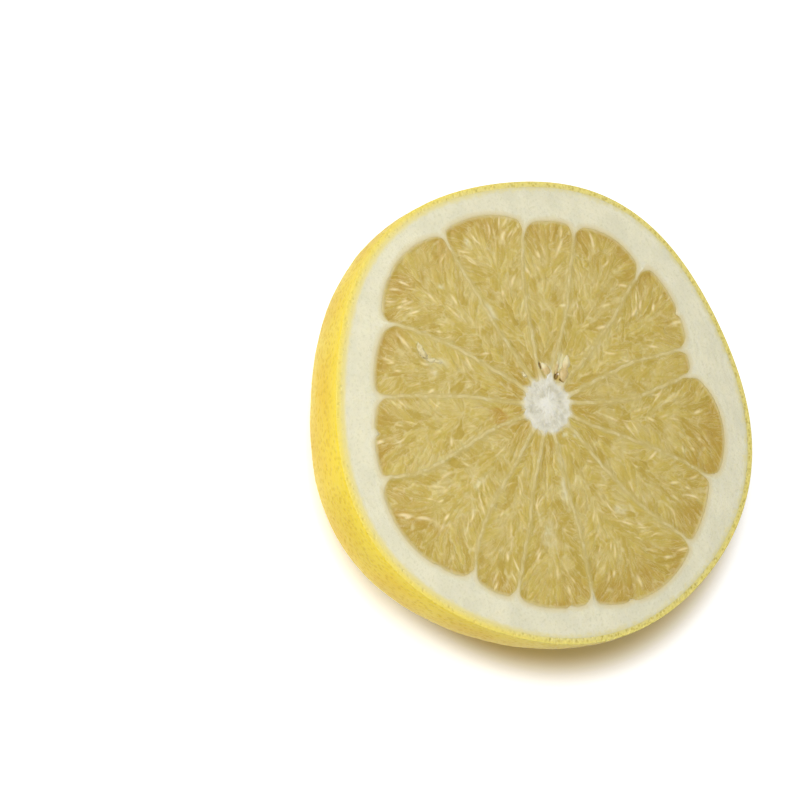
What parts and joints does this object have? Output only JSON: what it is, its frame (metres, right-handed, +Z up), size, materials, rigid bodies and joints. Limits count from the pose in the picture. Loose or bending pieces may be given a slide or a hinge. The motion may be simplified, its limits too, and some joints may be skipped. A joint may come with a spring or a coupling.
{
  "type": "pomelo half",
  "caption": "Half a pomelo cut across, resting on its blossom end, with rind, white pith, juicy segments and small seeds.",
  "frame": {"origin": "middle of the flat rest spot at the blossom end, on the fruit's own axis", "axes": "+Z up along the fruit's axis, out of the cut face; +Y towards the narrowest segment; +X completes the right-handed frame"},
  "size_m": [0.1426, 0.1425, 0.0675],
  "materials": {
    "rind": "waxy lemon-yellow peel, pebbled with oil glands, semi-gloss",
    "pith": "matt off-white spongy pith",
    "pulp": "wet, translucent ochre-yellow juice sacs",
    "seed": "pale tan, satin"
  },
  "bodies": {
    "root": {"rind": "rind", "pith": "pith", "segment_01": "pulp", "segment_02": "pulp", "segment_03": "pulp", "segment_04": "pulp", "segment_05": "pulp", "segment_06": "pulp", "segment_07": "pulp", "segment_08": "pulp", "segment_09": "pulp", "segment_10": "pulp", "segment_11": "pulp", "segment_12": "pulp", "segment_13": "pulp", "segment_14": "pulp", "seed_1": "seed", "seed_2": "seed", "seed_3": "seed"}
  },
  "joints": []
}
